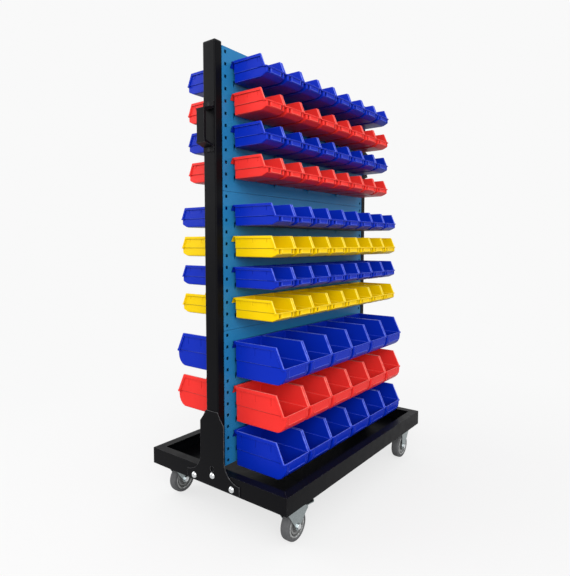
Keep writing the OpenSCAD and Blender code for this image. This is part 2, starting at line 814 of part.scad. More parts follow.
// Axle bolt with its hexagonal head and nut
module axle(i) {
    half = fork_y + fork_t;
    color(bright_steel) at_caster(i) translate([trail, 0, wheel_r]) rotate([90, 0, 0]) {
        translate([0, 0, half]) cylinder(r = hex_r * axle_d, h = axle_head_h, $fn = 6);
        translate([0, 0, -half - axle_nut_h - bolt_end])
            cylinder(r = axle_d / 2, h = 2 * half + axle_nut_h + bolt_end + tiny);
        translate([0, 0, -half - axle_nut_h]) nut(axle_d, axle_nut_h);
    }
}

// Rim with hub, web and ring
module rim(i) {
    rim_r = rim_d / 2 - thread_fit;
    color(rim_grey) at_caster(i) translate([trail, 0, wheel_r]) rotate([90, 0, 0]) difference() {
        union() {
            cylinder(r = hub_d / 2, h = hub_w, center = true);
            cylinder(r = rim_r, h = web_w, center = true);
            difference() {
                cylinder(r = rim_r, h = wheel_w - 2 * rim_recess, center = true);
                cylinder(r = rim_r - rim_ring, h = wheel_w, center = true);
            }
        }
        cylinder(r = axle_d / 2 + run_fit, h = 2 * hub_w, center = true);
    }
}

// Tyre with rounded shoulders
module tyre(i) {
    inner = rim_d / 2;
    half = wheel_w / 2;
    color(rubber) at_caster(i) translate([trail, 0, wheel_r]) rotate([90, 0, 0]) rotate_extrude() {
        translate([inner, -half]) square([wheel_r - tyre_r - inner, wheel_w]);
        translate([inner, -half + tyre_r]) square([wheel_r - inner, wheel_w - 2 * tyre_r]);
        for (side = [-1, 1]) translate([wheel_r - tyre_r, side * (half - tyre_r)]) circle(tyre_r);
    }
}

// Pedal with its pivot pins, and a tab and a shoe a little narrower than its barrel
module brake_pedal(i) {
    barrel_l = 2 * fork_y - 2 * pedal_gap;
    tab_w = barrel_l - 2 * pedal_gap;
    face = pedal_r - pedal_sink;
    color(zinc) at_caster(i) translate([pedal_px, 0, pedal_pz]) {
        rod_y(pedal_r, barrel_l);
        rod_y(pedal_pin_d / 2, 2 * fork_y + 2 * fork_t);
        rotate([0, pedal_slope, 0]) along_y([
            [0, face], [0, face - pedal_t], [pedal_l, face - pedal_t], [pedal_l, face + pedal_lip],
            [pedal_l - pedal_t, face + pedal_lip], [pedal_l - pedal_t, face]
        ], tab_w);
        translate([0, -tab_w / 2, -shoe_l]) cube([shoe_t, tab_w, shoe_l]);
    }
}

// Corner between a bin's floor and its front, set in by a wall: a bevel on small and medium bins, an arc
// on large ones
function bin_toe(kind, wall) =
    let (d = bin_d[kind], bevel = norm([small_toe, small_toe_h]))
    kind == LARGE
        ? arc(d - large_r, large_r, large_r - wall, -90, 0, 5)
        : [
            [d - small_toe - wall * (bevel - small_toe) / small_toe_h, wall],
            [d - wall, small_toe_h + wall * (bevel - small_toe_h) / small_toe]
        ];

// Side outline of a bin: floor, front, lip, sloping edge and back
function bin_outer(kind) =
    let (d = bin_d[kind])
    concat(
        [[0, 0]],
        bin_toe(kind, 0),
        [[d, bin_lip[kind]], [d - bin_slope[kind], bin_h[kind]], [0, bin_h[kind]]]
    );

// Side outline of the space inside a bin, open at the top and above the lip
function bin_inner(kind) =
    let (d = bin_d[kind], top = bin_h[kind] + cut)
    concat(
        [[bin_wall, top], [bin_wall, bin_wall]],
        bin_toe(kind, bin_wall),
        [[d - bin_wall, bin_lip[kind]], [d + cut, bin_lip[kind]], [d + cut, top]]
    );

// Cross-section of a bin's outside: sides stepped in below the lip's level, rim along the top
function bin_section(kind) =
    let (a = (bin_pitch[kind] - bin_gap) / 2, h = bin_h[kind], side = a - bin_rim, low = side - bin_step)
    [[low, 0], [low, bin_lip[kind] - bin_step], [side, bin_lip[kind]], [side, h - bin_rim_h - bin_rim],
        [a, h - bin_rim_h], [a, h]];

// Cross-section of the space inside a bin
function bin_space(kind) =
    let (a = (bin_pitch[kind] - bin_gap) / 2, side = a - bin_rim - bin_wall)
    [[side - bin_step, 0], [side - bin_step, bin_lip[kind] - bin_step], [side, bin_lip[kind]],
        [side, bin_h[kind] + cut]];

// Half a cross-section, mirrored and extruded past both ends of a bin of depth d
module section_along_y(half, d) {
    translate([0, d / 2, 0]) along_y(concat(half, mirrored(half)), d + 4 * cut);
}

// One bin, with its back on y = 0 and its floor on z = 0
module bin(kind) {
    w = bin_pitch[kind] - bin_gap;
    d = bin_d[kind];
    difference() {
        intersection() {
            along_x(bin_outer(kind), w);
            section_along_y(bin_section(kind), d);
        }
        intersection() {
            along_x(bin_inner(kind), w);
            section_along_y(bin_space(kind), d);
        }
    }
    bin_hook(kind, w - 2 * hook_inset);
}

// Hook on a bin's back: a flange over the louvre's tip and a strip down behind the tongue
module bin_hook(kind, w) {
    tip = bin_h[kind] - bin_rise[kind];
    face = louvre_run - panel_t - hook_fit - bin_standoff;
    lean = tan(louvre_lean);
    low = tip + hook_seat;
    high = low + hook_flange;
    along_x([
        [bin_wall / 2, low], [bin_wall / 2, high], [face - hook_t + lean * (high - tip), high],
        [face - hook_t - lean * hook_drop, tip - hook_drop], [face - lean * hook_drop, tip - hook_drop],
        [face + lean * hook_seat, low]
    ], w);
}

// One row of bins on one face
module bin_row(face, row) {
    kind = ROW_KIND[row];
    count = bins_in_row(kind);
    color(bin_colour(ROW_COLOUR[row])) at_face(face)
        translate([0, panel_y + bin_standoff, row_top(row) - bin_h[kind]])
            for (i = [0 : count - 1]) {
                translate([(i - (count - 1) / 2) * bin_pitch[kind], 0, 0]) bin(kind);
            }
}

tray_floor();
tray_rails();
upright("left");  // upright_left
upright("right");  // upright_right
upright_caps();
foot_plate("left");  // foot_plate_left
foot_plate("right");  // foot_plate_right
handle("left");  // handle_left
handle("right");  // handle_right
panel("front", 2);  // panel_front_upper
panel("front", 1);  // panel_front_middle
panel("front", 0);  // panel_front_lower
panel("back", 2);  // panel_back_upper
panel("back", 1);  // panel_back_middle
panel("back", 0);  // panel_back_lower
foot_bolts();
panel_screws();
handle_screws();
caster_bolts();
caster_plates();
kingpins();
for (i = [0 : len(CORNERS) - 1]) {
    fork(i);
    axle(i);
    rim(i);
    tyre(i);
}
brake_pedal(0);  // brake_pedal_front_left
brake_pedal(2);  // brake_pedal_back_left
for (side = [0 : len(FACES) - 1], row = [0 : FACE_ROWS[side] - 1]) {
    number = str(row < 9 ? "0" : "", row + 1);
    bin_row(FACES[side], row);
}
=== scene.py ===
import math

import bmesh
import bpy
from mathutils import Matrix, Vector


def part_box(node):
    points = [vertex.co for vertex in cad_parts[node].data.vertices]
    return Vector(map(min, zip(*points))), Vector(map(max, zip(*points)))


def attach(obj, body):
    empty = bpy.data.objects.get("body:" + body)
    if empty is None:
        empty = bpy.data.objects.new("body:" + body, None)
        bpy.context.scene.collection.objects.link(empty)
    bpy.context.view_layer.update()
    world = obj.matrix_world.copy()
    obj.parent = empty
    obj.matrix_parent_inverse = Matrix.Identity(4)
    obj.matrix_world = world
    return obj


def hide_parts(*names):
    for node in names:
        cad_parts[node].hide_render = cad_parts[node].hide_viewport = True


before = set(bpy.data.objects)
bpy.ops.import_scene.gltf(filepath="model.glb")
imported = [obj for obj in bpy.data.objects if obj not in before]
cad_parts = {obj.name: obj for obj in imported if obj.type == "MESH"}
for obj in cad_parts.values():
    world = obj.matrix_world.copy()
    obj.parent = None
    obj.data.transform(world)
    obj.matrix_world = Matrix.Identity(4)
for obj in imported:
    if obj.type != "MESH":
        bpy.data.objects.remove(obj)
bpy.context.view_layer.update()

# Looks of a double-sided trolley for hanging parts bins. Lengths are in metres, in the frame's own axes:
# X along the trolley, Y across it and Z up, with the front face at -Y.

MM = 0.001
CORNERS = ["front_left", "front_right", "back_left", "back_right"]
BRAKED = ["front_left", "back_left"]
PANELS = [f"panel_{face}_{level}" for face in ("front", "back") for level in ("upper", "middle", "lower")]

# Rows of bins, counted from the top. The back has no lowest row.
FACE_ROWS = {"front": 11, "back": 10}
ROW_KINDS = ["small"] * 4 + ["medium"] * 4 + ["large"] * 3
ROW_COLOURS = ["blue", "red", "blue", "red", "blue", "yellow", "blue", "yellow", "blue", "red", "blue"]
BINS_IN_ROW = {"small": 8, "medium": 8, "large": 6}

# Places of the bins on the panels
BIN_BACK_Y = 40 * MM
PANEL_FACE_Y = 26 * MM
LOUVRE_REACH = 10.26 * MM
LOUVRE_LEAN = math.radians(25)
PANEL_SHEET = 1.2 * MM

# Details that all bins share
BIN_GAP = 2.5 * MM
BIN_WALL = 2 * MM
BIN_RIM = 4 * MM
BIN_STEP = 2.5 * MM
LIP_PROUD = 2.4 * MM
FOOT_ROUND = 4.5 * MM
UPRIGHT_ROUND = 4 * MM
TOE_ROUND = 4 * MM
EDGE_BREAK = 0.35 * MM
# The slopes' raised band, as a share of the lip's
SLOPE_BAND = 1.4

# Slots under the rims of the sides, at shares of the top's length from the back
SIDE_SLOT = 2.2 * MM
SIDE_SLOT_DEPTH = 1.6 * MM
SIDE_SLOTS = (0.86, 0.48, 0.13)

# Slots, label frames and sills on the fronts
SLOT_DEPTH = 4 * MM
SLOT_WALL = 1.8 * MM
SLOT_INSET = 7.5 * MM
SLOT_TOP_GAP = 0.8 * MM
LABEL_SLOT = 11.5 * MM
LABEL_SLOT_RISE = 1.6 * MM
POST_GAP = 1.5 * MM
FRAME_BAR = 2.5 * MM
FRAME_PROUD = 1.6 * MM
LARGE_SLOT = 3 * MM
LARGE_SLOT_PITCH = 7.5 * MM
LARGE_SILL = 3 * MM
LARGE_SILL_RISE = 5 * MM

# Shares of a painted highlight on the frames and, below 0, of painted shade in the slots and in the crevice
# under the rim
FRAME_PAINTED_HIGHLIGHT = 0.6
SLOT_PAINTED_SHADE = -1
CREVICE_PAINTED_SHADE = -0.6
CREVICE = 1.2 * MM

# Hooks on the bins' backs
HOOK_SHEET = 2 * MM
HOOK_DROP = 13 * MM
HOOK_FIT = 0.5 * MM
HOOK_SEAT = 0.3 * MM
HOOK_NECK = 1.8 * MM
HOOK_INSET = 1 * MM

# Columns of a bin's mesh: faces along one side and across the back, steps round a corner and steps up a
# front's curve
SIDE_FACES = 2 * len(SIDE_SLOTS) + 2
BACK_SPANS = 2
CORNER_STEPS = 4
ARC_STEPS = 5
# Least share of an upward direction in the faces of a bin's rim that get a painted highlight, and most of a
# sideways one in its front's
RIM_FACING = 0.9
FRONT_FACING = 0.3


class Bin:
    """Sizes of one kind of bin, in metres from millimetres. The label bins have a framed front."""

    def __init__(self, row, lip, toe, toe_h, slope, rise, rim_h, lip_h, slot_h, labelled):
        low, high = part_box(f"back_bins_{row:02d}")
        count = BINS_IN_ROW[ROW_KINDS[row - 1]]
        self.pitch = (high.x - low.x + BIN_GAP) / count
        self.half = (self.pitch - BIN_GAP) / 2
        self.depth = high.y - BIN_BACK_Y
        self.height = high.z - low.z
        self.lip = lip * MM
        self.toe = toe * MM
        self.toe_h = toe_h * MM
        self.slope = slope * MM
        self.rise = rise * MM
        self.rim_h = rim_h * MM
        self.lip_h = lip_h * MM
        self.slot_h = slot_h * MM
        self.labelled = labelled
        self.side = self.half - BIN_RIM
        self.low_side = self.side - BIN_STEP
        self.face = self.depth - LIP_PROUD
        self.rim_low = self.height - self.rim_h
        self.lip_low = self.lip - self.lip_h

    def side_slots(self):
        """Distances from the back of the edges of the slots under the rim, from front to back."""
        top = self.depth - self.slope
        return [share * top + edge for share in SIDE_SLOTS for edge in (SIDE_SLOT, 0)]


LABEL_BIN = dict(lip=30, toe=24, toe_h=11, slope=23, rise=5, rim_h=8, lip_h=3.5, slot_h=14, labelled=True)
BINS = {
    "small": Bin(1, **LABEL_BIN),
    "medium": Bin(5, **LABEL_BIN),
    "large": Bin(9, lip=59, toe=42, toe_h=42, slope=36, rise=11, rim_h=11, lip_h=6, slot_h=28,
                 labelled=False),
}


def lerp(a, b, t):
    return a + (b - a) * t


def rounded(points, radius, steps):
    """A flat line of points with each inner corner turned into an arc."""
    out = [Vector(points[0])]
    for before, corner, after in zip(points, points[1:], points[2:]):
        corner = Vector(corner)
        back = (Vector(before) - corner).normalized()
        ahead = (Vector(after) - corner).normalized()
        half = back.angle(ahead) / 2
        centre = corner + (back + ahead).normalized() * radius / math.sin(half)
        reach = radius / math.tan(half)
        start = corner + back * reach - centre
        end = corner + ahead * reach - centre
        turn = math.pi - 2 * half
        for i in range(steps + 1):
            t = i / steps
            share = math.sin((1 - t) * turn) / math.sin(turn), math.sin(t * turn) / math.sin(turn)
            out.append(centre + start * share[0] + end * share[1])
    out.append(Vector(points[-1]))
    return out


def new_piece(name, bm, body, material, replaced=()):
    """A finished mesh as a piece that rides on a body and stands for CAD nodes."""
    mesh = bpy.data.meshes.new(name)
    bm.to_mesh(mesh)
    bm.free()
    mesh.polygons.foreach_set("use_smooth", [True] * len(mesh.polygons))
    mesh.materials.append(material)
    piece = bpy.data.objects.new(name, mesh)
    bpy.context.scene.collection.objects.link(piece)
    normals = piece.modifiers.new("even_normals", "WEIGHTED_NORMAL")
    normals.keep_sharp = False
    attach(piece, body)
    if replaced:
        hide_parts(*replaced)
    return piece


def highlight_and_shade_layer(bm):
    """The faces' share of a painted highlight on the edges, or of painted shade if it is below 0, which the
    materials read.
    """
    layers = bm.faces.layers.float
    return layers.get("edge") or layers.new("edge")


def break_edges(bm, width, segments=1, least=math.radians(35)):
    """Bevels every edge sharper than the least angle, and marks the new faces of outer edges as edges, for a
    painted highlight.
    """
    edge = highlight_and_shade_layer(bm)
    bm.normal_update()
    sharp = [e for e in bm.edges if len(e.link_faces) == 2 and e.calc_face_angle(0) > least]
    made = bmesh.ops.bevel(bm, geom=sharp, offset=width, offset_type="OFFSET", segments=segments,
                           profile=0.5, affect="EDGES", clamp_overlap=True)
    bm.normal_update()
    # The bevels of outer edges get a painted highlight, in place of the light that they catch.
    for face in made["faces"]:
        turn = sum(e.calc_face_angle_signed(0) for e in face.edges)
        face[edge] = 1 if turn > 0 else 0


def prism(bm, outline, axis, start, end):
    """A closed prism of a flat outline. The axis is "x" or "y", and the outline is in the other two."""
    def place(p, along):
        return (along, p[0], p[1]) if axis == "x" else (p[0], along, p[1])

    rings = [[bm.verts.new(place(p, along)) for p in outline] for along in (start, end)]
    n = len(outline)
    made = [bm.faces.new(rings[0]), bm.faces.new(list(reversed(rings[1])))]
    for i in range(n):
        j = (i + 1) % n
        made.append(bm.faces.new((rings[0][j], rings[0][i], rings[1][i], rings[1][j])))
    bmesh.ops.recalc_face_normals(bm, faces=made)
    return made


# Bins

def front_line(b, inset):
    """(y, z) points from the floor up a bin's front to its lip, set in by a wall."""
    face = b.face - inset
    if b.labelled:
        slant = math.hypot(b.toe, b.toe_h)
        corners = [
            (face - b.toe - inset * (slant - b.toe) / b.toe_h, inset),
            (face, b.toe_h + inset * (slant - b.toe_h) / b.toe),
        ]
        radius = TOE_ROUND - inset
    else:
        corners = [(face, inset)]
        radius = b.toe - inset
    return rounded([(0, inset), *corners, (face, b.lip)], radius, ARC_STEPS)[1:]


def depth_at(line, z):
    """The front's distance from the back at a height."""
    for low, high in zip(line, line[1:]):
        if low.y <= z <= high.y and high.y > low.y:
            return lerp(low.x, high.x, (z - low.y) / (high.y - low.y))
    return line[0].x if z <= line[0].y else line[-1].x


def heights(b, line, inset, marks):
    """Heights of a bin's lower rings: the marks, and the foot's and front's curves clear of them."""
    foot = FOOT_ROUND - inset
    fixed = [*marks, b.lip - BIN_STEP, b.lip]
    curve = [inset + foot * (1 - math.cos(math.radians(a))) for a in (30, 60, 90)]
    curve += [p.y for p in line if p.y > inset + foot]
    levels = [inset, *fixed]
    for z in curve:
        if min(abs(z - level) for level in levels) > 3 * EDGE_BREAK:
            levels.append(z)
    return sorted(set(levels))


def back_columns(b, half, back, end, radius, band, share=1):
    """(x, y, outward x, outward y) from the right side's front end round the back to the left side's. The
    share draws the side slots' columns towards the back."""
    start = back + radius
    slots = [lerp(start, y, share) for y in b.side_slots()]
    right = [(half, y, 1, 0) for y in (end, end - band, *slots, start)]
    for i in range(1, CORNER_STEPS + 1):
        a = -math.pi / 2 * i / CORNER_STEPS
        right.append((half - radius + radius * math.cos(a), start + radius * math.sin(a),
                      math.cos(a), math.sin(a)))
    inner = half - radius
    across = [(lerp(inner, -inner, i / BACK_SPANS), back, 0, -1) for i in range(1, BACK_SPANS)]
    return right + across + [(-x, y, -nx, ny) for x, y, nx, ny in reversed(right)]


def front_columns(half, front, radius, places):
    """The same across the front, from the left side's corner to the right side's."""
    left = []
    for i in range(1, CORNER_STEPS + 1):
        a = math.pi - math.pi / 2 * i / CORNER_STEPS
        left.append((radius - half + radius * math.cos(a), front - radius + radius * math.sin(a),
                     math.cos(a), math.sin(a)))
    left += [(-x, front, 0, 1) for x in places]
    return left + [(-x, y, -nx, ny) for x, y, nx, ny in reversed(left)]


class Shell:
    """One surface of a bin, outside or inside, as rings of points from the floor to the rim."""

    def __init__(self, bm, b, inset, places, marks):
        self.b = b
        line = front_line(b, inset)
        foot = FOOT_ROUND - inset
        radius = UPRIGHT_ROUND - inset / 2
        slope_run = b.slope - LIP_PROUD - radius - inset
        band = b.lip_h * math.hypot(slope_run, b.height - b.lip) / (b.height - b.lip) * SLOPE_BAND
        raised = bm.verts.layers.float_vector["raised"]
        self.levels = heights(b, line, inset, marks)
        widest = b.low_side - inset - radius

        def vert(column, z, half):
            x, y, nx, ny = column
            v = bm.verts.new((x, y, z))
            v[raised] = (nx * (b.half - half - inset), max(ny, 0) * LIP_PROUD, 0)
            return v

        self.lower = []
        for z in self.levels:
            sink = inset + foot - z
            tuck = foot - math.sqrt(foot * foot - sink * sink) if sink > 0 else 0
            up = min(max((z - b.lip) / BIN_STEP + 1, 0), 1)
            half = lerp(b.low_side, b.side, up) - inset - tuck
            front = depth_at(line, z)
            xs = [x * (half - radius) / widest for x in places]
            share = (front - radius) / (line[-1].x - radius)
            ring = back_columns(b, half, inset + tuck, front - radius, radius, band, share)
            self.back_count = len(ring)
            ring += front_columns(half, front, radius, xs)
            self.lower.append([vert(c, z, half) for c in ring])

        end_low = line[-1].x - radius
        end_high = end_low - slope_run
        self.upper = [self.lower[-1][:self.back_count]]
        for z in (b.rim_low - b.slot_h, b.rim_low - CREVICE, b.rim_low, b.height):
            end = lerp(end_low, end_high, (z - b.lip) / (b.height - b.lip))
            ring = back_columns(b, b.side - inset, inset, end, radius, band)
            self.upper.append([vert(c, z, b.side - inset) for c in ring])

        self.low_cells = self.cells(bm, self.lower, True)
        self.high_cells = self.cells(bm, self.upper, False)
        bm.faces.new(self.lower[0])

    @staticmethod
    def cells(bm, rings, closed):
        """The faces between rings, by ring and column."""
        made = {}
        for i, (low, high) in enumerate(zip(rings, rings[1:])):
            n = len(low)
            for j in range(n if closed else n - 1):
                k = (j + 1) % n
                made[i, j] = bm.faces.new((low[j], high[j], high[k], low[k]))
        return made

    def edge(self):
        """The open edge: across the lip, up one slope, round the top and down the other slope."""
        lip, n = self.lower[-1], self.back_count
        middle = self.upper[1:-1]
        up = [ring[0] for ring in middle]
        down = [ring[-1] for ring in reversed(middle)]
        return lip[n:] + [lip[0]] + up + self.upper[-1] + down + [lip[n - 1]]

    def rim_faces(self):
        """The band below the open edge, apart from the back."""
        n = self.back_count
        side = range(SIDE_FACES)
        ends = [0, n - 2]
        faces = []
        for (i, j), face in self.low_cells.items():
            if self.levels[i] > self.b.lip_low - EDGE_BREAK and (j >= n - 1 or j in ends):
                faces.append(face)
        for (i, j), face in self.high_cells.items():
            on_top = i == len(self.upper) - 2 and (j in side or n - 2 - j in side)
            if j in ends or on_top:
                faces.append(face)
        return faces

    def side_slot_faces(self, right):
        """Faces of the slots under the rim of one side."""
        last = self.back_count - 2
        columns = range(2, SIDE_FACES, 2)
        return [self.high_cells[1, j if right else last - j] for j in columns]

    def crevice_faces(self):
        """Faces of the sides just below the rim and of the step in the wall, which get painted shade."""
        last = self.back_count - 2
        columns = [j for k in range(1, SIDE_FACES) for j in (k, last - k)]
        step = self.levels.index(self.b.lip - BIN_STEP)
        return [self.high_cells[2, j] for j in columns] + [self.low_cells[step, j] for j in columns]

    def front_faces(self, x0, x1, z0, z1):
        """Faces of the front wall within a range of |x| and of height."""
        found = []
        for face in self.low_cells.values():
            c = face.calc_center_median()
            inside = x0 < abs(c.x) < x1 and z0 < c.z < z1 and c.y > self.b.face / 2
            if inside and abs(face.normal.x) < FRONT_FACING:
                found.append(face)
        return found


def push(bm, faces, offset, painted_light=0):
    """Extrudes faces along an offset, or along each point's own raise if the offset is None. Marks their
    share of painted light, a highlight above 0 and shade below."""
    raised = bm.verts.layers.float_vector["raised"]
    edge = highlight_and_shade_layer(bm)
    made = bmesh.ops.extrude_face_region(bm, geom=faces)["geom"]
    for part in made:
        if isinstance(part, bmesh.types.BMVert):
            part.co += Vector(part[raised] if offset is None else offset)
        elif isinstance(part, bmesh.types.BMFace):
            part[edge] = painted_light
    bmesh.ops.delete(bm, geom=faces, context="FACES")


class Front:
    """Slots and label frame on a bin's front: spans of |x| from the outside in, and of height."""

    def __init__(self, b):
        outer = b.low_side - SLOT_INSET
        if b.labelled:
            low = b.toe_h + LABEL_SLOT_RISE
            self.slots = [(outer, outer - LABEL_SLOT)]
            post = outer - LABEL_SLOT - POST_GAP
            self.post = (post, post - FRAME_BAR)
            self.sill_z = (low, low + FRAME_BAR)
        else:
            low = b.toe_h / 2
            self.slots = [(x, x - LARGE_SLOT) for x in (outer, outer - LARGE_SLOT_PITCH)]
            self.post = ()
            sill = low + LARGE_SILL_RISE
            self.sill_z = (sill, sill + LARGE_SILL)
        self.slot_z = (low, b.lip_low - SLOT_TOP_GAP)

    def places(self):
        return [x for span in self.slots for x in span] + list(self.post)

    def marks(self):
        return [*self.slot_z, *self.sill_z]

    def bulges(self):
        """The slots' spans on the inside, wider by the wall that is left round them."""
        return [(outer + SLOT_WALL, inner - SLOT_WALL) for outer, inner in self.slots]


def bin_mesh(b):
    """One bin with its back on y = 0 and its floor on z = 0, as a closed mesh with broken edges."""
    bm = bmesh.new()
    bm.verts.layers.float_vector.new("raised")
    edge = highlight_and_shade_layer(bm)
    front = Front(b)
    inner_z = [front.slot_z[0] - SLOT_WALL, front.slot_z[1] + SLOT_WALL]
    outside = Shell(bm, b, 0, front.places(), [*front.marks(), b.lip_low])
    spare = [x - SLOT_WALL for x in front.post]
    widened = [x for span in front.bulges() for x in span]
    inside = Shell(bm, b, BIN_WALL, widened + spare, inner_z)
    outer, inner = outside.edge(), inside.edge()
    for i in range(len(outer)):
        k = (i + 1) % len(outer)
        bm.faces.new((outer[i], outer[k], inner[k], inner[i]))
    bm.normal_update()
    bmesh.ops.recalc_face_normals(bm, faces=bm.faces)

    # Painted shade under the rim and at the step in the wall.
    for face in outside.crevice_faces():
        face[edge] = CREVICE_PAINTED_SHADE
    inward = (0, -SLOT_DEPTH, 0)
    sill_end = front.places()[-1]
    frame_faces = outside.front_faces(-1, sill_end, *front.sill_z)
    if front.post:
        frame_faces += outside.front_faces(front.post[1], front.post[0], *front.slot_z)
    slots = [f for a, c in front.slots for f in outside.front_faces(c, a, *front.slot_z)]
    bulges = [f for a, c in front.bulges() for f in inside.front_faces(c, a, *inner_z)]
    # The front slots get painted shade and the label frames a painted highlight.
    push(bm, slots, inward, SLOT_PAINTED_SHADE)
    push(bm, bulges, inward)
    push(bm, frame_faces, (0, FRAME_PROUD, 0), FRAME_PAINTED_HIGHLIGHT)
    # The slots under the rims get painted shade.
    for right in (True, False):
        depth = -SIDE_SLOT_DEPTH if right else SIDE_SLOT_DEPTH
        push(bm, outside.side_slot_faces(right), (depth, 0, 0), SLOT_PAINTED_SHADE)
    push(bm, outside.rim_faces(), None)
    bmesh.ops.recalc_face_normals(bm, faces=bm.faces)
    paint_rim_highlight(bm, b)
    break_edges(bm, EDGE_BREAK)
    drop_slot_highlights(bm, b)
    hook_prism(bm, b)
    bm.verts.layers.float_vector.remove(bm.verts.layers.float_vector["raised"])
    return bm


def paint_rim_highlight(bm, b):
    """Marks the upward faces of a bin's rim, lip and sloping edges as edges, for a painted highlight where
    light from above falls.
    """
    edge = highlight_and_shade_layer(bm)
    slope = Vector((0, b.height - b.lip, b.slope)).normalized()
    bm.normal_update()
    for face in bm.faces:
        high = face.calc_center_median().z > b.lip - EDGE_BREAK
        if high and max(face.normal.z, face.normal.dot(slope)) > RIM_FACING:
            face[edge] = 1


def drop_slot_highlights(bm, b):
    """Takes the painted highlight off the edges of the slots under a bin's rim."""
    edge = highlight_and_shade_layer(bm)
    front = max(b.side_slots()) + MM
    for face in bm.faces:
        c = face.calc_center_median()
        if c.y < front and b.rim_low - b.slot_h - MM < c.z < b.rim_low - EDGE_BREAK:
            face[edge] = min(face[edge], 0)


def hook_prism(bm, b):
    """The hook on a bin's back: a flange over the louvre's tip and a strip down behind the tongue."""
    tip = b.height - b.rise
    lean = math.tan(LOUVRE_LEAN)
    face = LOUVRE_REACH - PANEL_SHEET - HOOK_FIT - (BIN_BACK_Y - PANEL_FACE_Y)
    back = face - HOOK_SHEET
    neck = back + lean * HOOK_NECK
    outline = [
        (BIN_WALL / 2, tip + HOOK_SEAT), (BIN_WALL / 2, b.height), (neck, b.height),
        (neck, tip + HOOK_NECK),
        (back - lean * HOOK_DROP, tip - HOOK_DROP), (face - lean * HOOK_DROP, tip - HOOK_DROP),
        (face + lean * HOOK_SEAT, tip + HOOK_SEAT),
    ]
    width = b.half - HOOK_INSET
    prism(bm, outline, "x", -width, width)


def bin_rows(materials):
    """A piece for each row of bins, in place of the row's node."""
    bins = {}
    for kind, b in BINS.items():
        bm = bin_mesh(b)
        bins[kind] = bpy.data.meshes.new(f"one_{kind}_bin")
        bm.to_mesh(bins[kind])
        bm.free()
    for face, sign in (("front", -1), ("back", 1)):
        for row in range(1, FACE_ROWS[face] + 1):
            kind, colour = ROW_KINDS[row - 1], ROW_COLOURS[row - 1]
            node = f"{face}_bins_{row:02d}"
            b, count = BINS[kind], BINS_IN_ROW[kind]
            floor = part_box(node)[0].z
            bm = bmesh.new()
            for i in range(count):
                before = len(bm.verts)
                bm.from_mesh(bins[kind])
                bm.verts.ensure_lookup_table()
                shift = (i - (count - 1) / 2) * b.pitch
                for v in bm.verts[before:]:
                    v.co = (sign * (v.co.x + shift), sign * (v.co.y + BIN_BACK_Y), v.co.z + floor)
            new_piece(f"bins_{face}_{row:02d}", bm, f"row_{face}_{row:02d}", materials[f"bin_{colour}"],
                      [node])


# Frame, casters and fasteners

def finished(node, body, material, width, segments=2):
    """A copy of a CAD node with its flat faces joined and its edges broken."""
    bm = bmesh.new()
    bm.from_mesh(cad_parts[node].data)
    bmesh.ops.remove_doubles(bm, verts=bm.verts, dist=MM / 1000)
    bmesh.ops.dissolve_limit(bm, angle_limit=math.radians(0.5), verts=bm.verts, edges=bm.edges)
    break_edges(bm, width, segments)
    return new_piece(f"{node}_finished", bm, body, material, [node])


def lathe(line, centre, steps=72):
    """A closed line of (radius, y) points turned about the Y axis through a centre. Each point keeps its
    radius."""
    bm = bmesh.new()
    reach = bm.verts.layers.float.new("reach")
    rings = []
    for i in range(steps):
        a = 2 * math.pi * i / steps
        turn = Vector((math.cos(a), 0, math.sin(a)))
        ring = [bm.verts.new(centre + turn * r + Vector((0, y, 0))) for r, y in line]
        for v, (r, y) in zip(ring, line):
            v[reach] = r
        rings.append(ring)
    for i in range(steps):
        low, high = rings[i], rings[(i + 1) % steps]
        for j in range(len(line)):
            k = (j + 1) % len(line)
            bm.faces.new((low[j], low[k], high[k], high[j]))
    bmesh.ops.recalc_face_normals(bm, faces=bm.faces)
    return bm


def both_sides(line, side):
    """Points of (radius, depth below a wheel's side) in millimetres, with their mirror image, in metres."""
    half = [(r * MM, side - depth * MM) for r, depth in line]
    return half + [(r, -y) for r, y in reversed(half)]


TYRE_LINE = [(38, 1.8), (38.6, 1), (40, 0.8), (40.4, 0), (42.4, 0), (42.8, 0.6), (44.6, 0.8), (46.6, 1.6),
             (48.2, 3), (49.2, 5), (49.7, 7.5), (50, 11.5)]
RIM_LINE = [(5.1, -0.4), (5.6, -1), (10.6, -1), (11.4, -0.4), (13.2, 0.2), (14, 1.2), (14.4, 4.4),
            (15.2, 5.4), (19.6, 6), (20.6, 5.6), (21.4, 3.8), (22.2, 3.2), (26.6, 3.2), (27.4, 3.8),
            (28.2, 5.8), (29, 6.4), (30.6, 6.4), (31.4, 5.6), (32.2, 1.8), (33, 1), (36.8, 1), (37.6, 1.6),
            (37.9, 2.4)]
# Tones of the rim's rings and grooves, by millimetres from the axle, with painted shade in the grooves
RIM_TONES = [(13, 0.22), (14.2, 0.05), (21, 0.05), (22, 0.3), (27, 0.26), (28, 0.05), (31.6, 0.06),
             (32.4, 0.5)]


def wheels(materials):
    """Rubber tyres with moulded sidewalls and rims with rings."""
    for corner in CORNERS:
        low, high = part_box(f"tyre_{corner}")
        centre, side = (low + high) / 2, (high.y - low.y) / 2
        body = f"wheel_{corner}"
        tyre = lathe(both_sides(TYRE_LINE, side), centre)
        new_piece(f"tyre_{corner}_moulded", tyre, body, materials["tyre"], [f"tyre_{corner}"])
        rim = lathe(both_sides(RIM_LINE, side), centre)
        new_piece(f"rim_{corner}_ringed", rim, body, materials["rim_grey"], [f"rim_{corner}"])


# Widths of the parts' broken edges
SHEET_BREAK = 0.4 * MM
RAIL_BREAK = 0.9 * MM
TUBE_BREAK = 0.5 * MM
PLATE_BREAK = 0.6 * MM
HANDLE_BREAK = 1.4 * MM
CAP_BREAK = 0.8 * MM
SCREW_BREAK = 0.3 * MM
BOLT_BREAK = 0.5 * MM
AXLE_BREAK = 0.6 * MM
PRESSED_BREAK = 0.7 * MM


